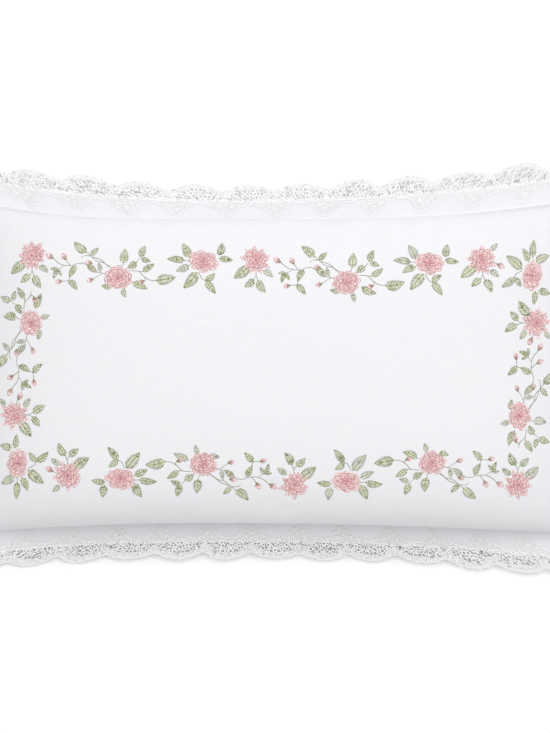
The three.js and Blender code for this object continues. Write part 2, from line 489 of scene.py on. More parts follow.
def edges(seam_x: float, seam_y: float) -> tuple[Edge, ...]:
    """Set out the four edges, in order round the sham.

    Args:
        seam_x: Half the pocket's length at its corners.
        seam_y: Half its width there.

    Returns:
        The foot, left, head and right edges.
    """
    foot = (Ripple(-0.29, 0.08, 2.4 * MM), Ripple(-0.09, 0.095, -2 * MM))
    foot += (Ripple(0.11, 0.08, 2.6 * MM), Ripple(0.3, 0.085, -2.8 * MM))
    head = (Ripple(-0.3, 0.095, 3 * MM), Ripple(-0.12, 0.08, -2.2 * MM))
    head += (Ripple(0.06, 0.09, 2 * MM), Ripple(0.17, 0.05, -2 * MM), Ripple(0.27, 0.13, 5 * MM))
    left = (Ripple(-0.11, 0.075, 2.4 * MM), Ripple(0.09, 0.08, -2.2 * MM))
    right = (Ripple(-0.08, 0.08, -2.4 * MM), Ripple(0.12, 0.075, 2.2 * MM))
    return (
        Edge(
            "foot",
            (-1, 0),
            (0, -1),
            seam_x,
            seam_y,
            foot,
            drawn=16 * MM,
            straightness=2.2,
            deepest=0.16,
            lean=13,
            scallops=14,
        ),
        Edge("left", (0, 1), (-1, 0), seam_y, seam_x, left),
        Edge(
            "head",
            (1, 0),
            (0, 1),
            seam_x,
            seam_y,
            head,
            drawn=30 * MM,
            straightness=3.2,
            deepest=-0.1,
            widening=1.1,
            lean=-16,
            scallops=13,
        ),
        Edge("right", (0, -1), (1, 0), seam_y, seam_x, right),
    )


@dataclass(frozen=True)
class Swell:
    """How one face of the pocket fills out: how flat its middle is and how full its shoulders are."""

    rise: float
    flat_x: float
    flat_y: float
    head: float
    foot: float
    side: float

    def share(self, u: Array, v: Array) -> Array:
        """Give the share of the full rise at places of -1 to 1 across the face."""
        ends = np.clip(1 - np.abs(u) ** self.flat_x, 0, 1) ** self.side
        shoulder = np.where(v > 0, self.head, self.foot)
        return ends * np.clip(1 - np.abs(v) ** self.flat_y, 0, 1) ** shoulder


@dataclass(frozen=True)
class ShamForm:
    """The sham's driving sizes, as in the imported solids, and the surfaces that they give."""

    crown: float
    seam_x: float = 414 * MM
    seam_y: float = 225 * MM
    seam_middle: float = 24 * MM
    seam_drop: float = 6 * MM
    flange_width: float = 26 * MM
    flange_thickness: float = 2 * MM
    lace_reach: float = 51 * MM
    corner_flare: float = 26 * MM
    corner_lean: float = 10
    corner_sharpness: int = 6
    seam_sharpness: int = 4
    ripple_sharpness: int = 8
    bulge_sharpness: int = 4
    bend: float = 2.0
    bulge: float = 3 * MM
    bulge_start: float = 0.86
    slack: float = 1.5 * MM
    back_depth: float = 68 * MM

    @property
    def edges(self) -> tuple[Edge, ...]:
        """The four edges, in order round the sham."""
        return edges(self.seam_x, self.seam_y)

    def seam(self, share: Array) -> Array:
        """Give the seam's height along an edge, or over the pocket for the product of both places."""
        return self.seam_middle - self.seam_drop * np.abs(share) ** self.seam_sharpness

    def band(self, edge: Edge, share: Array, run: Array, mitre: float = 0.0) -> Array:
        """Place points of the flange's middle, and of the lace beyond its edge.

        Args:
            edge: The edge.
            share: Places along the edge, from -1 to 1.
            run: Distances out from the seam.
            mitre: How far the band stops short of the corner's mitre.

        Returns:
            The points.
        """
        rest = math.radians(edge.lean)
        lean = rest + (math.radians(self.corner_lean) - rest) * np.abs(share) ** self.corner_sharpness
        flare = self.corner_flare * edge.from_deepest(share) ** edge.widening
        spread = run * (1 + flare / self.lace_reach) * np.cos(lean)
        along = share * (edge.half + spread - mitre)
        out = edge.reach + spread - edge.drawn_in(share)
        height = self.seam(share) - run * np.sin(lean) - self.bend * run**2
        loose = (run / self.lace_reach) * (1 - np.abs(share) ** self.ripple_sharpness)
        for ripple in edge.ripples:
            off = (share * edge.half - ripple.at) / ripple.width
            height = height + ripple.lift * loose * np.exp(-(off**2))
        x, y = edge.plan(along, out)
        return np.stack(np.broadcast_arrays(x, y, height), axis=-1)

    def pocket(self, u: Array, v: Array) -> tuple[Array, Array, Array]:
        """Place the pocket's seam level in plan.

        Args:
            u: Places along the sham, from -1 to 1.
            v: Places across it.

        Returns:
            The plan's x and y, and the seam's height.
        """
        foot, left, head, right = self.edges
        along = np.where(u > 0, right.drawn_in(-v), left.drawn_in(v))
        across = np.where(v > 0, head.drawn_in(u), foot.drawn_in(-u))
        x = u * (self.seam_x - along * u**2)
        y = v * (self.seam_y - across * v**2)
        return x, y, self.seam(u * v)

    def front(self, u: Array, v: Array) -> Array:
        """Place points of the embroidered face."""
        x, y, seam = self.pocket(u, v)
        step = self.flange_thickness / 2
        rise = self.crown - self.slack - self.seam_middle - step
        swell = Swell(rise, flat_x=4.8, flat_y=4.2, head=0.28, foot=0.32, side=0.6)
        past = np.clip((v - self.bulge_start) / (1 - self.bulge_start), 0, 1)
        uneven = 0.7 + 0.3 * np.sin(61 * x + 1.0) + 0.25 * np.sin(137 * x)
        along = 1 - np.abs(u) ** self.bulge_sharpness
        y = y + self.bulge * uneven * np.sin(math.pi * past) * along
        return np.stack([x, y, seam + step + swell.rise * swell.share(u, v)], axis=-1)

    def back(self, u: Array, v: Array) -> Array:
        """Place points of the back, pressed flat where it rests."""
        x, y, seam = self.pocket(u, v)
        swell = Swell(self.back_depth, flat_x=3.6, flat_y=2.2, head=0.8, foot=0.8, side=0.8)
        height = seam - self.flange_thickness / 2 - swell.rise * swell.share(u, v)
        return np.stack([x, y, np.maximum(height, 0)], axis=-1)


@dataclass
class LinenCover:
    """The filled cover: front and back panels, sewn together inside a flat flange."""

    form: ShamForm
    finish: LinenFinish = field(default_factory=LinenFinish)
    cells_x: int = 130
    cells_y: int = 72
    closer: float = 0.25
    flange_runs: tuple[float, ...] = (1.6 * MM, 4 * MM, 12 * MM, 20 * MM, 25 * MM, 26 * MM)
    pressure: float = 0.3
    frames: int = 20
    most_move: float = 3 * MM
    pucker_depth: float = 2.2 * MM
    pucker_reach: float = 13 * MM
    pucker_seed: int = 11
    unevenness: float = 0.8 * MM

    def spread(self, cells: int) -> Array:
        """Space a panel's lines from -1 to 1, closer towards the seam."""
        t = np.linspace(-1, 1, cells + 1)
        return t + self.closer * np.sin(math.pi * t) / math.pi

    def outline(self) -> tuple[Array, list[tuple[Edge, Array]]]:
        """Walk round the panels' border.

        Returns:
            The border's grid indices, and each edge with its share at each stop.
        """
        index = np.arange((self.cells_x + 1) * (self.cells_y + 1)).reshape(self.cells_y + 1, -1)
        u = self.spread(self.cells_x)
        v = self.spread(self.cells_y)
        foot, left, head, right = self.form.edges
        loop = np.concatenate([index[0, :-1], index[:-1, -1], index[-1, :0:-1], index[:0:-1, 0]])
        stops = [(foot, -u[:-1]), (right, -v[:-1]), (head, u[:0:-1]), (left, v[:0:-1])]
        return loop, stops

    def flat(self, edge: Edge, share: Array, run: float) -> Array:
        """Give the flat cloth's places along a line of the flange."""
        x, y = edge.plan(share * (edge.half + run), edge.reach + run)
        return np.stack([x, y, 0 * x], axis=-1)

    def draft(self) -> tuple[MeshDraft, Array, Array]:
        """Set out the two panels and the flange.

        Returns:
            The draft, the flat cloth's place of each point, and which points are held while it fills.
        """
        u, v = np.meshgrid(self.spread(self.cells_x), self.spread(self.cells_y))
        front = self.form.front(u, v)
        back = self.form.back(u, v)
        laid = np.stack([u * self.form.seam_x, v * self.form.seam_y, 0 * u], axis=-1)
        index = np.arange(u.size).reshape(u.shape)
        quads = np.stack([index[:-1, :-1], index[:-1, 1:], index[1:, 1:], index[1:, :-1]], axis=-1)
        draft = MeshDraft()
        draft.add(front, quads)
        draft.add(back, quads[..., ::-1])
        border = np.zeros(u.shape, bool)
        border[[0, -1]] = True
        border[:, [0, -1]] = True
        held = [border.ravel(), (border | (back[..., 2] <= 0)).ravel()]
        cloth = [laid.reshape(-1, 3), laid.reshape(-1, 3) + (0, 0, 1)]
        loop, stops = self.outline()
        above = [loop]
        below = [loop + u.size]
        half = self.form.flange_thickness / 2
        for run in self.flange_runs:
            line = np.concatenate([self.form.band(edge, share, run) for edge, share in stops])
            sewn = np.concatenate([self.flat(edge, share, run) for edge, share in stops])
            thin = half * (0.75 if run == self.flange_runs[-1] else 1.0)
            for rings, side, layer in ((above, 1, 0), (below, -1, 1)):
                rings.append(np.arange(len(line)) + draft.count)
                draft.add(line + (0, 0, side * thin))
                held.append(np.ones(len(line), bool))
                cloth.append(sewn + (0, 0, layer))
        for rings in (above, below[::-1]):
            for inner, outer in zip(rings, rings[1:]):
                draft.faces.extend(self.strip(inner, outer).tolist())
        draft.faces.extend(self.strip(above[-1], below[-1]).tolist())
        return draft, np.concatenate(cloth), np.concatenate(held)

    def strip(self, inner: Array, outer: Array) -> Array:
        """Join two closed rings of points with a strip of faces."""
        return np.stack([inner, outer, np.roll(outer, -1), np.roll(inner, -1)], axis=-1)

    def fill(self, piece: bpy.types.Object, held: Array) -> None:
        """Let the filling press the cloth outwards, with the seam, flange and resting back held.

        Args:
            piece: The cover.
            held: Which of its points are held.
        """
        group = piece.vertex_groups.new(name="held")
        group.add(np.flatnonzero(held).tolist(), 1.0, "REPLACE")
        cloth = piece.modifiers.new("filling", "CLOTH")
        linen = {
            "quality": 6,
            "mass": 0.25,
            "tension_stiffness": 30,
            "compression_stiffness": 30,
            "shear_stiffness": 8,
            "bending_stiffness": 0.6,
            "use_pressure": True,
            "uniform_pressure_force": self.pressure,
            "vertex_group_mass": "held",
        }
        for name, value in linen.items():
            setattr(cloth.settings, name, value)
        cloth.settings.effector_weights.gravity = 0
        cloth.collision_settings.use_collision = False
        cloth.point_cache.frame_end = self.frames
        scene = bpy.context.scene
        for step in range(1, self.frames + 1):
            scene.frame_set(step)
        graph = bpy.context.evaluated_depsgraph_get()
        settled = piece.evaluated_get(graph).data
        points = read_points(piece.data)
        move = read_points(settled) - points
        far = np.linalg.norm(move, axis=1, keepdims=True)
        LOG.info("the filling moved the cloth by up to %.1f mm", 1000 * far.max())
        move *= np.minimum(1, self.most_move / np.maximum(far, 1e-9))
        piece.modifiers.remove(cloth)
        piece.vertex_groups.remove(group)
        scene.frame_set(1)
        points = points + move
        points[:, 2] = np.maximum(points[:, 2], 0)
        write_points(piece.data, points)

    def pucker(self, piece: bpy.types.Object) -> None:
        """Pull small puckers into the front along its seam, and soft unevenness into its middle."""
        rng = np.random.default_rng(self.pucker_seed)
        u, v = np.meshgrid(self.spread(self.cells_x), self.spread(self.cells_y))
        x = u * self.form.seam_x
        y = v * self.form.seam_y
        sink = np.zeros(u.shape)
        sides = (
            (x, self.form.seam_y - y, self.form.seam_x, 1.0),
            (x, self.form.seam_y + y, self.form.seam_x, 1.0),
            (y, self.form.seam_x - x, self.form.seam_y, 0.4),
            (y, self.form.seam_x + x, self.form.seam_y, 0.4),
        )
        for along, inward, half, strength in sides:
            place = -half
            while place < half:
                place += rng.uniform(22, 52) * MM
                width = rng.uniform(4, 11) * MM
                depth = strength * self.pucker_depth * rng.uniform(0.25, 1.0)
                reach = self.pucker_reach * rng.uniform(0.7, 1.6)
                lean = rng.uniform(-0.35, 0.35)
                hump = (inward / reach) * np.exp(1 - inward / reach)
                sink += depth * hump * np.exp(-(((along - place - lean * inward) / width) ** 2))
        soft = 0.7 * np.sin(9 * x + 4 * y + 1.0) + 0.5 * np.sin(17 * x - 13 * y)
        soft = soft + 0.4 * np.sin(31 * y + 6 * x)
        sink += self.unevenness * soft * np.clip(1 - v**2, 0, 1) * np.clip(1 - u**2, 0, 1)
        points = read_points(piece.data)
        points[: u.size] -= sink.reshape(-1, 1) * read_points(piece.data, "normal")[: u.size]
        write_points(piece.data, points)

    def build(self) -> bpy.types.Object:
        """Make, fill and smooth the cover.

        Returns:
            The finished cover.
        """
        draft, cloth, held = self.draft()
        piece = draft.piece("filled_linen_cover", self.finish.material())
        self.fill(piece, held)
        piece.data.update()
        self.pucker(piece)
        places = piece.data.attributes.new("cloth", "FLOAT_VECTOR", "POINT")
        places.data.foreach_set("vector", cloth.ravel())
        smoothing = piece.modifiers.new("smoothing", "SUBSURF")
        smoothing.levels = 1
        smoothing.render_levels = 1
        graph = bpy.context.evaluated_depsgraph_get()
        smooth = bpy.data.meshes.new_from_object(piece.evaluated_get(graph))
        piece.modifiers.clear()
        piece.data = smooth
        points = read_points(smooth)
        points[:, 2] = np.maximum(points[:, 2], 0)
        write_points(smooth, points)
        smooth.update()
        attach(piece, "root")
        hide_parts("sham_cover")
        return piece


@dataclass
class GalloonLace:
    """One length of the white lace, scalloped on its outer edge and pointed on its inner one."""

    form: ShamForm
    edge: Edge
    material: bpy.types.Material
    tip: float = 25 * MM
    notch: float = 17 * MM
    hollow: float = 4 * MM
    point: float = 21 * MM
    mitre: float = 0.25 * MM
    corner_trim: float = 7 * MM
    corner_length: float = 24 * MM
    gap: float = 1.4 * MM
    steps: int = 30
    bump: float = 0.9 * MM
    uneven: float = 1.2 * MM
    uneven_point: float = 0.8 * MM
    cord_margin: float = 0.01
    start_margin: float = 0.05
    end_margin: float = 0.04
    rim_step: float = 2.8 * MM
    rim_depth: float = 7.6 * MM
    band_step: float = 2.9 * MM
    picot_step: float = 3.0 * MM
    picot_height: float = 1.5 * MM
    knot_step: float = 2.3 * MM
    net_step: float = 4.6 * MM
    net_rows: int = 4
    net_thread: float = 0.95 * MM
    eyelet_count: int = 6
    eyelet_thread: float = 0.9 * MM
    eyelet_clear: float = 3.6 * MM
    closeness: float = 0.4
    point_rows: int = 6
    net_petal: tuple[float, float] = (2.9 * MM, 2.3 * MM)
    point_petal: tuple[float, float] = (3.4 * MM, 2.2 * MM)
    petal_base: float = 0.3 * MM
    petal_rise: float = 0.6 * MM
    flat_top: float = 0.82

    def __post_init__(self) -> None:
        """Start the draft."""
        self.draft = MeshDraft()
        self.pitch = 2 * self.edge.half / self.edge.scallops
        self.rng = np.random.default_rng(len(self.edge.name) * 7 + self.edge.scallops)

    def place(self, at: Array, out: Array, lift: Array | float = 0.0) -> Array:
        """Lay points of the flat lace over the flange.

        Args:
            at: Places along the lace, in scallops from its start.
            out: Distances outward from the flange's edge.
            lift: Heights above the lace's underside.

        Returns:
            The points.
        """
        share = 2 * at / self.edge.scallops - 1
        points = self.form.band(self.edge, share, self.form.flange_width + out, self.mitre)
        points[..., 2] += self.gap + lift
        return points

    def lobe(self, at: Array) -> Array:
        """Give 1 at a scallop's tip and 0 at the notch between two."""
        return np.abs(np.cos(math.pi * at))

    def outer(self, at: Array) -> Array:
        """Give the outer edge's distance from the flange's edge."""
        share = np.abs(2 * at / self.edge.scallops - 1)
        near = np.clip((1 - share) * self.edge.half / self.corner_length, 0, 1)
        trim = self.corner_trim * (1 - near) ** 2
        bumps = self.bump * (np.abs(np.sin(5 * math.pi * at)) - 0.6)
        lobe = self.lobe(at)
        tips = self.uneven * lobe * np.sin(2.3 * at + 1.0)
        notches = self.uneven * (1 - lobe) * (1 + np.sin(1.7 * at))
        return self.notch + (self.tip - self.notch) * lobe + bumps + (tips - notches) - trim

    def inner(self, at: Array) -> Array:
        """Give the inner edge's distance from the flange's edge, which is inward, with rounded points."""
        softened = np.sqrt(self.lobe(at) ** 2 + 0.02) - 0.14
        uneven = self.uneven_point * np.sin(2.9 * at + 0.4)
        return -self.hollow - (self.point - self.hollow) * (1 - softened / 0.87) + uneven

    def whole(self) -> Array:
        """Give close places along the whole lace."""
        last = self.edge.scallops - self.cord_margin
        return np.linspace(self.cord_margin, last, self.edge.scallops * self.steps + 1)

    def spaced(self, step: float, shift: float = 0.0) -> Array:
        """Give places a step apart that stop short of the lace's ends.

        Args:
            step: Their spacing.
            shift: How much further along they start, in scallops.

        Returns:
            The places, in scallops.
        """
        last = self.edge.scallops - self.end_margin
        return np.arange(self.start_margin + shift, last, step / self.pitch)

    def cord(self, at: Array, out: Array, radius: float, lift: float) -> None:
        """Add a cord along the whole lace."""
        self.draft.tubes(self.place(at, out, lift)[None], self.flat_top * radius, 0.7)

    def rings(
        self,
        at: Array,
        out: Array,
        radius: Array | float,
        thread: float,
        stretch: Array | float = 1.0,
        corners: int = 8,
    ) -> None:
        """Add worked rings of thread.

        Args:
            at: Where their middles are along the lace.
            out: How far out their middles are.
            radius: Their radius, or one for each.
            thread: The radius of their thread.
            stretch: How much longer they are along the lace than across it.
            corners: How many points each ring has.
        """
        turn = np.linspace(0, 2 * math.pi, corners, endpoint=False)
        size = np.broadcast_to(radius, at.shape)[:, None]
        length = size * np.broadcast_to(stretch, at.shape)[:, None]
        spots = at[:, None] + length * np.cos(turn) / self.pitch
        paths = self.place(spots, out[:, None] + size * np.sin(turn), 0.6 * MM)
        self.draft.tubes(paths, self.flat_top * thread, 0.55, True)

    def close_row(self, line: Array, depth: float, radius: float, thread: float, follow: bool) -> None:
        """Add a row of small rings worked close together.

        Args:
            line: Where they are along the lace.
            depth: How far in from the outer edge they are, or out from the flange's edge.
            radius: Their radius.
            thread: The radius of their thread.
            follow: Whether the row follows the scallops.
        """
        spots = line + self.rng.uniform(-0.5, 0.5, line.shape) * MM / self.pitch
        spots = spots[self.rng.uniform(0, 1, spots.shape) < (0.9 if follow else 1.0)]
        level = self.outer(spots) - depth if follow else np.full(spots.shape, depth)
        level = level + self.rng.uniform(-0.4, 0.4, spots.shape) * MM
        self.rings(spots, level, radius * self.rng.uniform(0.8, 1.2, spots.shape), thread, 1.0, 6)

    def rim(self) -> None:
        """Add the close rim of the scallops with its picots, and the close band along the flange."""
        line = self.whole()
        self.cord(line, self.outer(line) - 0.6 * MM, 0.6 * MM, 0.5 * MM)
        small = self.spaced(self.rim_step)
        for shift, depth, thread in ((0, 2.0, 0.62), (0.5, 4.2, 0.66), (0, 6.4, 0.66)):
            row = small + shift * (small[1] - small[0])
            self.close_row(row, depth * MM, 1.4 * MM, thread * MM, True)
        band = self.spaced(self.band_step)
        for shift, level, radius, thread in ((0, -2.2, 1.5, 0.6), (0.25, 0.4, 1.2, 0.66)):
            row = band + shift * (band[1] - band[0])
            self.close_row(row, level * MM, radius * MM, thread * MM, False)
        turn = np.linspace(0, math.pi, 5)
        loops = self.spaced(self.picot_step)[:, None]
        spots = loops + 0.9 * MM * np.cos(turn) / self.pitch
        rise = self.outer(loops) - 0.6 * MM + self.picot_height * np.sin(turn)
        self.draft.tubes(self.place(spots, rise, 0.4 * MM), 0.33 * MM, 0.8)

    def eyelets(self) -> tuple[Array, Array]:
        """Give the places of the largest openings, six in each scallop."""
        at = (np.arange(self.edge.scallops * self.eyelet_count) + 0.5) / self.eyelet_count
        return at, (self.outer(at) + self.inner(at)) / 2 + 4 * MM

    def net(self) -> None:
        """Add the net: uneven rings and close petals, in staggered rows that follow the scallops."""
        eye_at, eye_out = self.eyelets()
        self.rings(eye_at, eye_out, (1.9 + self.lobe(eye_at)) * MM, self.eyelet_thread)
        columns = np.arange(0.5, self.edge.scallops * self.pitch / self.net_step - 0.5)
        for row in range(self.net_rows):
            at = (columns + 0.5 * (row % 2)) * self.net_step / self.pitch
            at = at + self.rng.uniform(-0.8, 0.8, at.shape) * MM / self.pitch
            first = 0.3 * MM * (1 - self.lobe(at)) - 0.7 * MM
            space = (self.outer(at) - self.rim_depth - first) / self.net_rows
            out = first + (row + 0.5 + self.rng.uniform(-0.2, 0.2, at.shape)) * space
            near = np.full(at.shape, 1.0)
            for k in range(len(eye_at)):
                near = np.minimum(near, np.hypot((at - eye_at[k]) * self.pitch, out - eye_out[k]))
            inside = (at > self.end_margin) & (at < self.edge.scallops - self.end_margin)
            keep = inside & (near > self.eyelet_clear)
            close = keep & (self.rng.uniform(0, 1, at.shape) < self.closeness)
            keep &= ~close
            radius = space * self.rng.uniform(0.5, 0.64, at.shape)
            stretch = self.rng.uniform(1.6, 2.3, at.shape) * MM / radius
            self.rings(at[keep], out[keep], radius[keep], self.net_thread, stretch[keep])
            for turn in (0, 120, 240):
                self.plates(at[close], out[close], turn + 40 * row, *self.net_petal)

    def plates(self, at: Array, out: Array | float, turn: float, length: float, width: float) -> None:
        """Add close-worked leaves or petals that point the same way.

        Args:
            at: Where their bases are along the lace.
            out: How far out their bases are, or one for each.
            turn: The way that they point, in degrees from along the lace.
            length: Their length.
            width: Their width.
        """
        t = np.linspace(0, 1, 5)
        half = width / 2 * np.sin(math.pi * t**0.8) ** 0.8
        left = np.stack([t * length, half], -1)
        right = np.stack([t * length, -half], -1)
        rim = np.concatenate([left, right[-2:0:-1]])
        middle = np.array([0.52 * length, 0.0])
        spin = turning(turn)
        rings = np.stack([rim, middle + 0.55 * (rim - middle)]) @ spin
        centre = middle @ spin
        count = len(rim)
        flat = np.concatenate([rings.reshape(-1, 2), centre[None], centre[None]])
        low = np.full(count, self.petal_base)
        high = np.full(count, self.petal_base + self.petal_rise)
        rise = np.concatenate([low, high, [self.petal_base + 0.45 * MM, self.petal_base - 0.2 * MM]])
        level = np.broadcast_to(out, at.shape)[:, None] + flat[:, 1]
        points = self.place(at[:, None] + flat[:, 0] / self.pitch, level, rise)
        ring = np.arange(count)
        following = np.roll(ring, -1)
        walls = np.stack([ring, following, following + count, ring + count], -1)
        top = np.stack([ring + count, following + count, np.full(count, 2 * count)], -1)
        bottom = np.stack([following, ring, np.full(count, 2 * count + 1)], -1)
        first = np.arange(len(at))[:, None, None] * (2 * count + 2)
        self.draft.add(points, walls[None] + first, top[None] + first, bottom[None] + first)

    def points(self) -> None:
        """Add the pointed inner edge: a knotted cord, small rings that fill each point, and petals."""
        line = self.whole()
        self.cord(line, self.inner(line) + 1.6 * MM, 0.5 * MM, 0.3 * MM)
        knots = self.spaced(self.knot_step)
        knots = knots[self.rng.uniform(0, 1, knots.shape) < 0.85]
        level = self.inner(knots) + self.rng.uniform(0.1, 1.7, knots.shape) * MM
        self.rings(knots, level, self.rng.uniform(0.7, 1.2, knots.shape) * MM, 0.55 * MM, 1.0, 6)
        for row in range(self.point_rows):
            level = -4.9 * MM - 2.5 * MM * row
            spots = self.spaced(self.rim_step, 0.5 * (self.rim_step / self.pitch) * (row % 2))
            spots = spots[self.inner(spots) < level - 1.2 * MM]
            spots = spots[self.rng.uniform(0, 1, spots.shape) < 0.86]
            self.close_row(spots, level, 1.3 * MM, 0.56 * MM, False)
        middles = np.arange(self.edge.scallops) + 0.5
        for beside, level, first in ((0, -11, 270), (-8, -6.5, 230), (8, -6.5, 310)):
            for turn in (first, first + 120, first + 240):
                spots = middles + beside * MM / self.pitch
                self.plates(spots, level * MM, turn, *self.point_petal)

    def build(self) -> bpy.types.Object:
        """Make the lace.

        Returns:
            The finished length.
        """
        self.rim()
        self.net()
        self.points()
        piece = self.draft.piece(f"galloon_{self.edge.name}", self.material, False)
        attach(piece, "root")
        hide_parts(f"lace_{self.edge.name}")
        width = self.tip + self.point
        2 * self.edge.half
        return piece


class Thread(Enum):
    """The embroidery's threads: slot, piece name, colour and the colour in its uneven places."""

    ROSE = ("rose_thread", "roses_mid", (251, 211, 212), (241, 192, 194))
    PALE = ("rose_thread_pale", "roses_pale", (255, 236, 235), (252, 219, 218))
    DEEP = ("rose_thread_deep", "roses_deep", (228, 166, 169), (209, 142, 147))
    LEAF = ("leaf_thread", "leaves_sage", (161, 165, 118), (129, 134, 87))
    LIGHT = ("leaf_thread_light", "leaves_light", (240, 241, 214), (226, 229, 182))
    STEM = ("stem_thread", "stems_grey", (178, 179, 166), (148, 150, 136))

    @property
    def slot(self) -> str:
        """The record's slot."""
        return self.value[0]

    @property
    def piece(self) -> str:
        """The piece's name."""
        return self.value[1]

    def finish(self) -> ThreadFinish:
        """Give the thread's finish."""
        return ThreadFinish(self.slot, self.value[2], self.value[3])


@dataclass
class FaceHeights:
    """The height of the cover's face over the plan, read once by casting rays down onto it."""

    cover: bpy.types.Object
    step: float = 2 * MM
    half_x: float = 0.42
    half_y: float = 0.24
    above: float = 0.4

    def __post_init__(self) -> None:
        """Cast the rays."""
        tree = BVHTree.FromObject(self.cover, bpy.context.evaluated_depsgraph_get())
        self.x = np.arange(-self.half_x, self.half_x + self.step, self.step)
        self.y = np.arange(-self.half_y, self.half_y + self.step, self.step)
        self.z = np.zeros((len(self.y), len(self.x)))
        down = Vector((0, 0, -1))
        for j, y in enumerate(self.y):
            for i, x in enumerate(self.x):
                hit = tree.ray_cast(Vector((x, y, self.above)), down)[0]
                self.z[j, i] = hit.z if hit else 0.0

    def at(self, plan: Array) -> Array:
        """Give the face's height under points of the plan."""
        i = np.clip((plan[..., 0] - self.x[0]) / self.step, 0, len(self.x) - 1.001)
        j = np.clip((plan[..., 1] - self.y[0]) / self.step, 0, len(self.y) - 1.001)
        left = i.astype(int)
        low = j.astype(int)
        p = i - left
        q = j - low
        lower = self.z[low, left] * (1 - p) + self.z[low, left + 1] * p
        upper = self.z[low + 1, left] * (1 - p) + self.z[low + 1, left + 1] * p
        return lower * (1 - q) + upper * q


class StitchBook:
    """Every stitch of the embroidery in plan, kept by thread until it is laid on the face."""

    HALF_WIDTH = 0.4
    CREST = (0.25, 0.75)
    RISE = 0.47
    SUNK = 0.12 * MM

    def __init__(self) -> None:
        """Start with no stitches."""
        self.rows: dict[Thread, list[Array]] = {thread: [] for thread in Thread}

    def note(self, thread: Thread, starts: Array, ends: Array, width: float, lift: Array | float) -> None:
        """Note some stitches.

        Args:
            thread: Their thread.
            starts: Where they start in plan.
            ends: Where they end.
            width: Their width.
            lift: Their height over the cloth.
        """
        count = len(starts)
        if count:
            sizes = np.stack([np.full(count, width), np.broadcast_to(lift, count)], axis=-1)
            self.rows[thread].append(np.concatenate([starts, ends, sizes], axis=-1))

    def lay(self, thread: Thread, heights: FaceHeights) -> bpy.types.Object:
        """Lay one thread's stitches on the face as small rounded ridges.

        Args:
            thread: The thread.
            heights: The face's height.

        Returns:
            The piece with all of its stitches.
        """
        rows = np.concatenate(self.rows[thread])
        starts = rows[:, 0:2]
        ends = rows[:, 2:4]
        width = rows[:, 4, None]
        lift = rows[:, 5, None]
        way = ends - starts
        way /= np.linalg.norm(way, axis=1, keepdims=True) + 1e-9
        side = np.stack([-way[:, 1], way[:, 0]], axis=-1)
        edge = self.HALF_WIDTH * width * side
        crest = np.array(self.CREST)[:, None]
        ridge = starts[:, None] + (ends - starts)[:, None] * crest
        base = np.stack([starts + edge, starts - edge, ends + edge, ends - edge], axis=1)
        plan = np.concatenate([base, ridge], axis=1)
        rise = np.concatenate([np.zeros((len(rows), 4)), np.repeat(self.RISE * width, 2, axis=1)], axis=1)
        spots = np.concatenate([np.repeat(np.stack([starts, ends], axis=1), 2, axis=1), ridge], axis=1)
        height = heights.at(spots) - self.SUNK + rise + lift
        points = np.concatenate([plan, height[..., None]], axis=-1)
        first = 6 * np.arange(len(rows))[:, None, None]
        slopes = np.array([[0, 4, 5, 2], [1, 3, 5, 4], [0, 2, 3, 1]])
        hips = np.array([[0, 1, 4], [3, 2, 5]])
        draft = MeshDraft()
        draft.add(points, slopes + first, hips + first)
        piece = draft.piece(thread.piece, thread.finish().material())
        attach(piece, "root")
        return piece


@dataclass(frozen=True)
class Placement:
    """Where a motif is worked on the face: its middle, turn in degrees and stretch."""

    x: float
    y: float
    turn: float = 0.0
    stretch: tuple[float, float] = (1.0, 1.0)
    tilt: float = 0.0

    def plan(self, points: Array) -> Array:
        """Move points from the motif's own frame, in millimetres, to the plan."""
        spun = points @ turning(-self.tilt) * np.array(self.stretch) @ turning(self.tilt)
        return spun @ turning(self.turn) * MM + np.array([self.x, self.y])


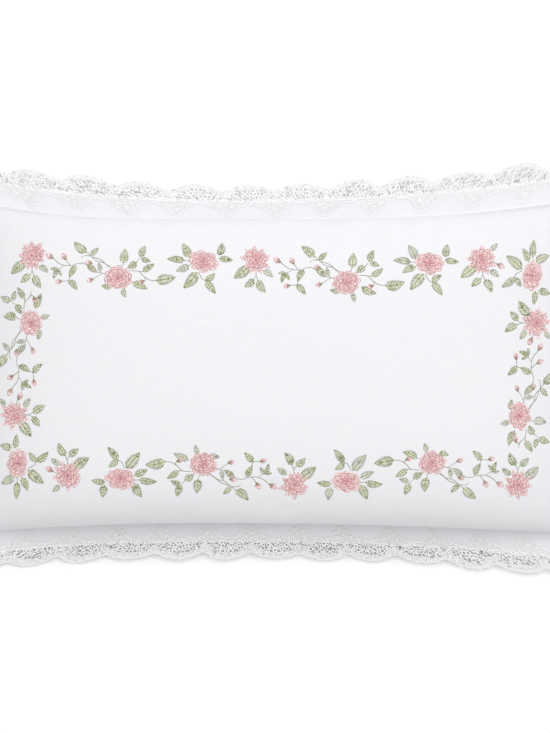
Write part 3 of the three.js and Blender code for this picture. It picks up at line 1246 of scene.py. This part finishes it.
@dataclass
class Needle:
    """Works stitches in one motif's own frame, in millimetres, and notes them in the book."""

    book: StitchBook
    place: Placement
    rng: np.random.Generator
    spacing: float = 0.62
    swell: float = 0.62
    petal_width: float = 0.66
    outline_width: float = 0.65
    leaf_spacing: float = 0.8
    leaf_width: float = 0.8

    def stitch(self, thread: Thread, starts: Array, ends: Array, width: float, lift: float) -> None:
        """Note stitches given in the motif's frame."""
        self.book.note(thread, self.place.plan(starts), self.place.plan(ends), width * MM, lift * MM)

    def line(self, thread: Thread, points: Array, width: float, lift: float, slant: float = 0.0) -> None:
        """Work a line of short stitches, each slanting a little across it."""
        starts = points[:-1]
        ends = points[1:]
        way = ends - starts
        over = 0.12 * way
        lean = slant * np.stack([-way[:, 1], way[:, 0]], axis=-1)
        self.stitch(thread, starts - over - lean, ends + over + lean, width, lift)

    def frame(self, base: tuple[float, float], turn: float, points: Array) -> Array:
        """Move points from a leaf's or petal's own frame to the motif's."""
        return points @ turning(turn) + np.array(base)

    def breadth(self, along: Array, width: float, blunt: float) -> Array:
        """Give half a petal's width at places of 0 to 1 along it."""
        both = self.swell + blunt
        peak = (self.swell / both) ** self.swell * (blunt / both) ** blunt
        return width / 2 * along**self.swell * (1 - along) ** blunt / peak

    def petal(
        self,
        base: tuple[float, float],
        turn: float,
        length: float,
        width: float,
        blunt: float,
        tones: Sequence[Thread],
        lift: float,
        outline: Thread = Thread.DEEP,
    ) -> None:
        """Fill a petal with long and short stitches from its base to its edge.

        Args:
            base: Where its base is.
            turn: The way that it points, in degrees.
            length: Its length.
            width: Its width.
            blunt: How round its end is, from 0.3 for round to 1 for pointed.
            tones: Its threads from base to edge.
            lift: Its height over the cloth.
            outline: The thread of its outline.
        """
        columns = max(int(width / self.spacing), 4)
        across = np.linspace(-0.92, 0.92, columns)[:, None]
        rows = max(int(length / 3.6), 2)
        uneven = self.rng.uniform(-0.3, 0.3, (columns, rows + 1)) / rows
        stops = np.clip(np.linspace(0.04, 0.97, rows + 1)[None] + uneven, 0.02, 0.98)
        half = self.breadth(stops, width, blunt)
        points = self.frame(base, turn, np.stack([stops * length, across * half], axis=-1))
        middle = (stops[:, :-1] + stops[:, 1:]) / 2 + self.rng.uniform(-0.14, 0.14, (columns, rows))
        tone = np.clip((middle * len(tones)).astype(int), 0, len(tones) - 1)
        tone[self.rng.uniform(0, 1, tone.shape) < 0.07] = len(tones)
        for k, thread in enumerate((*tones, Thread.DEEP)):
            mask = tone == k
            self.stitch(thread, points[:, :-1][mask], points[:, 1:][mask], self.petal_width, lift)
        t = np.linspace(0.05, 0.985, max(int(length / 2.2), 4))
        edge = self.breadth(t, width, blunt)
        up = np.stack([t * length, edge], axis=-1)
        down = np.stack([t * length, -edge], axis=-1)[::-1]
        rim = self.frame(base, turn, np.concatenate([up, down]))
        self.line(outline, rim, self.outline_width, lift + 0.12)

    def leaf(
        self, base: tuple[float, float], turn: float, length: float, width: float, pale: bool = False
    ) -> None:
        """Work a leaf: slanting satin stitches from a midrib, with a toothed edge and a light vein.

        Args:
            base: Where its stalk joins.
            turn: The way that it points, in degrees.
            length: Its length.
            width: Its width.
            pale: Whether it is one of the pale grey ones.
        """
        count = max(int(length / self.leaf_spacing), 8)
        t = np.linspace(0.02, 0.93, count)
        curve = self.rng.uniform(-0.09, 0.09)
        tips = np.minimum(t + 0.17, 1.0)
        order = np.arange(count) % 4
        half = 1.1 * width / 2 * np.sin(math.pi * tips**0.8) ** 0.75 * (1.04 - 0.2 * order / 3)
        bow = curve * length * np.sin(math.pi * t)
        bow_tip = curve * length * np.sin(math.pi * tips)
        dark = Thread.STEM if pale or self.rng.uniform() < 0.15 else Thread.LEAF
        vein = (order == 0) | (self.rng.uniform(0, 1, count) < 0.15)
        for side in (1, -1):
            starts = self.frame(base, turn, np.stack([t * length, bow + 0.15 * side], axis=-1))
            ends = self.frame(base, turn, np.stack([tips * length, bow_tip + side * half], axis=-1))
            meet = starts + (ends - starts) * self.rng.uniform(0.4, 0.7, (count, 1))
            self.stitch(dark, starts[vein], ends[vein], self.leaf_width, 0.12)
            self.stitch(Thread.LIGHT, starts[~vein], meet[~vein], self.leaf_width, 0.05)
            self.stitch(dark, meet[~vein], ends[~vein], self.leaf_width, 0.05)
        along = np.linspace(0.0, 0.9, 6)
        rib = np.stack([along * length, curve * length * np.sin(along * math.pi)], axis=-1)
        self.line(dark, self.frame(base, turn, rib), 0.55, 0.25)

    def bud(self, base: tuple[float, float], turn: float, size: float) -> None:
        """Work a bud in its calyx."""
        self.petal(base, turn, size, 0.72 * size, 0.6, (Thread.DEEP, Thread.ROSE, Thread.PALE), 0.1)
        fan = np.radians(turn + np.array([-38.0, -14.0, 14.0, 38.0]))
        bearing = math.radians(turn)
        back = 0.12 * size * np.array([math.cos(bearing), math.sin(bearing)])
        start = np.repeat([base], 4, axis=0) - back
        end = np.array(base) + 0.55 * size * np.stack([np.cos(fan), np.sin(fan)], axis=-1)
        self.stitch(Thread.LEAF, start, end, 0.75, 0.3)

    def stem(self, points: Sequence[tuple[float, float]]) -> None:
        """Work a stem as two rows of slanting stitches."""
        path = smooth_path(points, 2.4)
        self.line(Thread.STEM, path, 0.75, 0.1, 0.16)
        self.line(Thread.LEAF, path + 0.35, 0.5, 0.05, 0.1)


@dataclass(frozen=True)
class PetalRing:
    """One ring of a bloom's petals, in millimetres and degrees, with their threads from base to edge."""

    count: int
    start: float
    length: float
    width: float
    blunt: float
    tones: tuple[Thread, ...]
    first: float


class Bloom(Enum):
    """The three roses of the border."""

    POINTED = "pointed"
    RUFFLED = "ruffled"
    OVAL = "oval"

    def work(self, needle: Needle) -> None:
        """Work the bloom in layers, from its outer petals to its heart."""
        deep, rose, pale = Thread.DEEP, Thread.ROSE, Thread.PALE
        layers: dict[Bloom, tuple[PetalRing, ...]] = {
            Bloom.POINTED: (
                PetalRing(9, 3.0, 16.4, 6.2, 0.85, (rose, pale, pale), 12),
                PetalRing(12, 2.0, 13.6, 6.0, 0.8, (rose, pale, pale), 0),
                PetalRing(10, 1.5, 10.4, 5.4, 0.8, (rose, pale, pale), 24),
                PetalRing(7, 1.0, 7.4, 4.8, 0.75, (deep, pale, rose), 5),
                PetalRing(5, 0.3, 4.6, 3.8, 0.7, (deep, rose, pale), 40),
            ),
            Bloom.RUFFLED: (
                PetalRing(10, 5.0, 13.6, 9.8, 0.36, (rose, pale, pale), 10),
                PetalRing(9, 4.0, 10.6, 8.4, 0.36, (rose, pale, pale), 30),
                PetalRing(7, 2.5, 8.0, 6.8, 0.38, (deep, pale, pale), 12),
                PetalRing(5, 0.8, 5.4, 5.0, 0.4, (deep, rose, pale), 50),
            ),
            Bloom.OVAL: (
                PetalRing(8, 5.5, 14.2, 12.6, 0.42, (rose, pale, pale), 0),
                PetalRing(7, 4.5, 10.8, 10.2, 0.4, (rose, pale, pale), 28),
                PetalRing(6, 2.6, 8.2, 7.6, 0.4, (deep, pale, rose), 8),
                PetalRing(4, 0.6, 5.4, 5.6, 0.4, (deep, rose, pale), 40),
            ),
        }
        for level, ring in enumerate(layers[self]):
            for k in needle.rng.permutation(ring.count):
                turn = ring.first + 360 * k / ring.count + needle.rng.uniform(-5, 5)
                bearing = math.radians(turn)
                base = (ring.start * math.cos(bearing), ring.start * math.sin(bearing))
                size = ring.length * needle.rng.uniform(0.86, 1.1)
                outline = deep if level % 2 or needle.rng.uniform() < 0.4 else rose
                lift = 0.2 + 0.28 * level
                needle.petal(base, turn, size, ring.width, ring.blunt, ring.tones, lift, outline)

    def placement(self, x: float, y: float, turn: float) -> Placement:
        """Place the bloom, with the oval one drawn out along a slant."""
        stretch = {Bloom.POINTED: (1.02, 1.02), Bloom.RUFFLED: (0.96, 0.81), Bloom.OVAL: (1.0, 0.71)}
        return Placement(x, y, turn, stretch[self], -12 if self is Bloom.OVAL else 0)


@dataclass(frozen=True)
class Leaf:
    """One leaf of a spray, in the spray's frame in millimetres and degrees."""

    x: float
    y: float
    turn: float
    length: float
    width: float
    pale: bool = False


@dataclass(frozen=True)
class Spray:
    """A bloom with the stems, leaves and buds round it."""

    bloom: Bloom
    leaves: tuple[Leaf, ...]
    stems: tuple[tuple[tuple[float, float], ...], ...]
    buds: tuple[tuple[float, float, float, float], ...] = ()

    def work(self, book: StitchBook, x: float, y: float, turn: float, seed: int) -> None:
        """Work the spray on the face.

        Args:
            book: Where its stitches are noted.
            x: Its bloom's place along the sham.
            y: Its bloom's place across it.
            turn: Its turn in degrees.
            seed: The seed of its small differences from the others.
        """
        rng = np.random.default_rng(seed)
        needle = Needle(book, Placement(x, y, turn), rng)
        for points in self.stems:
            needle.stem(points)
        for leaf in self.leaves:
            needle.leaf((leaf.x, leaf.y), leaf.turn, leaf.length, leaf.width, leaf.pale)
        for place_x, place_y, bearing, size in self.buds:
            needle.bud((place_x, place_y), bearing, size)
        self.bloom.work(Needle(book, self.bloom.placement(x, y, turn), rng))


POINTED_SPRAY = Spray(
    Bloom.POINTED,
    (
        Leaf(-9, -9, 218, 24, 13),
        Leaf(-2, -25, 220, 16, 9),
        Leaf(3, -26, 300, 19, 10),
        Leaf(10, -14, 325, 15, 8, True),
    ),
    (((0, -12), (0.5, -20), (-2, -25)), ((0.5, -20), (3, -26))),
)
POINTED_SPRAY_WITH_BUD = Spray(
    Bloom.POINTED,
    POINTED_SPRAY.leaves + (Leaf(12, 12, 45, 13, 7, True),),
    POINTED_SPRAY.stems + (((11, -2), (16, -4), (20, -6)),),
    ((20, -6, -25, 10),),
)
OVAL_SPRAY = Spray(
    Bloom.OVAL,
    (
        Leaf(-18, 5, 116, 21, 11),
        Leaf(-24, 1, 174, 23, 9),
        Leaf(-18, -5, 204, 19, 9),
        Leaf(20, 8, 78, 17, 10),
        Leaf(20, 4, -8, 18, 8),
        Leaf(-8, -14, 230, 27, 13),
        Leaf(3, -24, 36, 15, 8),
        Leaf(3, -25, 308, 21, 9),
    ),
    (((-6, -14), (-2, -22), (3, -25)), ((-14, 1), (-24, 1)), ((-12, 2), (-18, -5))),
)
RUFFLED_SPRAY = Spray(
    Bloom.RUFFLED,
    (
        Leaf(-41, 33, 140, 22, 11),
        Leaf(-35, 29, 44, 14, 7),
        Leaf(-39, 17, 322, 15, 8),
        Leaf(-55, 16, 242, 17, 8),
        Leaf(-64, -3, 312, 17, 8),
        Leaf(-79, 12, 182, 9, 5),
        Leaf(-79, 12, 250, 14, 6),
        Leaf(-79, 12, 304, 11, 5),
        Leaf(-23, 8, 100, 12, 6, True),
        Leaf(7, 19, 84, 19, 11),
        Leaf(24, 20, 212, 14, 9),
        Leaf(29, 27, 68, 16, 9),
        Leaf(30, 25, 342, 13, 7),
        Leaf(32, 8, 34, 18, 8),
        Leaf(49, -4, 10, 26, 13),
        Leaf(19, -6, 336, 21, 9),
        Leaf(7, -14, 286, 12, 7, True),
        Leaf(-9, -13, 166, 13, 7),
    ),
    (
        ((-13, 4), (-24, 7), (-33, 8), (-41, 17), (-50, 19), (-62, 16), (-75, 18), (-85, 26)),
        ((-62, 16), (-66, 21), (-68, 24)),
        ((-55, 16), (-61, 7), (-64, -3), (-73, -4)),
        ((-9, 13), (-18, 19), (-28, 22), (-36, 29), (-41, 33)),
        ((-12, 14), (-22, 23), (-33, 27)),
        ((16, 9), (27, 8), (33, 2), (41, -3), (49, -4)),
        ((13, 13), (23, 20), (29, 27)),
        ((-20, 6), (-28, 1), (-33, -2)),
        ((-70, 16), (-75, 13), (-79, 12)),
        ((-36, 28), (-43, 29), (-48, 26)),
        ((4, 12), (6, 16), (7, 19)),
        ((27, 8), (32, 8)),
        ((34, 1), (36, -2), (34, -4)),
    ),
    (
        (-85, 26, 150, 10),
        (-68, 24, 118, 9),
        (-73, -4, 190, 8),
        (-34, 19, 170, 8),
        (-32, -2, 195, 8),
        (34, -4, 200, 8),
    ),
)
RUFFLED_SPRAY_AT_SIDE = Spray(
    Bloom.RUFFLED,
    tuple(leaf for leaf in RUFFLED_SPRAY.leaves if leaf.length < 26),
    tuple(stem for stem in RUFFLED_SPRAY.stems if stem[-1] != (49, -4))
    + (((16, 9), (27, 8), (34, 1), (41, -1)),),
    RUFFLED_SPRAY.buds,
)


@dataclass
class RoseBorder:
    """The embroidered frame of roses, half of it set out and half turned round the sham's middle."""

    cover: bpy.types.Object
    middle_y: float = -4 * MM
    first_seed: int = 20
    twin_seed: int = 60

    def half(self) -> tuple[tuple[Spray, float, float, float, float], ...]:
        """Set out half of the border.

        Returns:
            Each spray, its place in millimetres, its turn, and how much lower its turned twin is worked.
        """
        a, b, c = POINTED_SPRAY, RUFFLED_SPRAY, OVAL_SPRAY
        budded = POINTED_SPRAY_WITH_BUD
        return (
            (a, -315, 144, 0, 2),
            (b, -202, 114, 0, 2),
            (c, -92, 135, 0, 5),
            (a, -25, 137, 0, 8),
            (b, 92, 108, 0, 10),
            (c, 199, 133, 0, 4),
            (budded, 267, 138, 0, -5),
            (c, 334, 118, -90, 0),
            (budded, 339, 57, -90, -2),
            (RUFFLED_SPRAY_AT_SIDE, 316, -64, -90, 0),
        )

    def build(self) -> list[bpy.types.Object]:
        """Work the border on the cover's face.

        Returns:
            The pieces, one for each thread.
        """
        book = StitchBook()
        for k, (spray, x, y, turn, drop) in enumerate(self.half()):
            spray.work(book, x * MM, y * MM, turn, self.first_seed + k)
            twin_y = 2 * self.middle_y - (y + drop) * MM
            spray.work(book, -x * MM, twin_y, turn + 180, self.twin_seed + k)
        heights = FaceHeights(self.cover)
        return [book.lay(thread, heights) for thread in Thread]


@dataclass
class Studio:
    """The pale floor, a grey sheet of painted shade under the lace, the soft light and the camera straight
    above the sham.
    """

    laces: Sequence[GalloonLace]
    camera_height: float = 2.6
    sensor: float = 36.0
    pixel: float = 1.33 * MM
    scale_level: float = 46 * MM
    sky: float = 0.66
    key_watts: float = 54.0
    key_place: tuple[float, float, float] = (0.3, 1.05, 3.1)
    key_size: float = 1.8
    floor_half: float = 6.0
    floor_drop: float = 0.3 * MM
    # Painted shade: a grey sheet under the lace stands in for the shade seen through its holes; its grey,
    # how far inside the lace's rim it stops, and how much further it reaches under lace that stands higher.
    mat_colour: tuple[float, float, float] = (215, 215, 217)
    mat_inside: float = 2.2 * MM
    mat_ease: float = 0.38

    def floor(self) -> None:
        """Lay the floor just under the sham."""
        draft = MeshDraft()
        square = np.array([[-1.0, -1, 0], [1, -1, 0], [1, 1, 0], [-1, 1, 0]])
        corners = self.floor_half * square - (0, 0, self.floor_drop)
        draft.add(corners, np.array([[0, 1, 2, 3]]))
        draft.piece("studio_floor", FloorFinish().material(), False)

    def mat(self) -> None:
        """Lay a grey sheet of painted shade under the lace: it shows through the lace's holes, and reaches
        further under lace that stands higher.
        """
        border = []
        for lace in self.laces:
            at = np.linspace(0, lace.edge.scallops, 20 * lace.edge.scallops, endpoint=False)
            border.append(lace.place(at, lace.outer(at) - self.mat_inside))
        points = np.concatenate(border)
        points[:, :2] *= 1 + self.mat_ease * points[:, 2:]
        points[:, 2] = -self.floor_drop / 2
        draft = MeshDraft()
        draft.add(points, np.arange(len(points))[None, ::-1])
        # Painted shade: the sheet's grey stands in for the shade under the lace.
        finish = FloorFinish("grey_studio_mat", self.mat_colour)
        draft.piece("studio_mat", finish.material(), False)

    def light(self) -> None:
        """Set an even sky and one large soft light beyond the head edge."""
        world = bpy.data.worlds.new("soft_sky")
        world.use_nodes = True
        background = world.node_tree.nodes["Background"]
        background.inputs["Color"].default_value = (1.0, 1.0, 1.0, 1.0)
        background.inputs["Strength"].default_value = self.sky
        bpy.context.scene.world = world
        lamp = bpy.data.lights.new("soft_key", "AREA")
        lamp.energy = self.key_watts
        lamp.size = self.key_size
        key = bpy.data.objects.new("soft_key", lamp)
        key.location = self.key_place
        key.rotation_euler = (-Vector(self.key_place)).to_track_quat("-Z", "Y").to_euler()
        bpy.context.scene.collection.objects.link(key)

    def camera(self) -> None:
        """Set the camera so that a pixel has its size at the scale's level."""
        lens = bpy.data.cameras.new("above")
        lens.sensor_width = self.sensor
        away = self.camera_height - self.scale_level
        lens.lens = self.sensor * away / (IMAGE_HEIGHT * self.pixel)
        camera = bpy.data.objects.new("above", lens)
        camera.location = (0.0, 0.0, self.camera_height)
        bpy.context.scene.collection.objects.link(camera)
        bpy.context.scene.camera = camera

    def build(self) -> None:
        """Set up the studio, with colours shown as they are."""
        bpy.context.scene.view_settings.view_transform = "Standard"
        self.floor()
        # The grey sheet of painted shade under the lace.
        self.mat()
        self.light()
        self.camera()


def main() -> None:
    """Build the studio and the sham, piece by piece."""
    logging.basicConfig(level=logging.INFO, format="%(message)s")
    form = ShamForm(crown=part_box("sham_cover")[1].z)
    cotton = CottonFinish().material()
    laces = [GalloonLace(form, edge, cotton) for edge in form.edges]
    Studio(laces).build()
    cover = LinenCover(form).build()
    pieces = [cover]
    pieces.extend(lace.build() for lace in laces)
    pieces.extend(RoseBorder(cover).build())
    for piece in pieces:
        LOG.info("%s: %d faces", piece.name, len(piece.data.polygons))


if __name__ == "__main__":
    main()
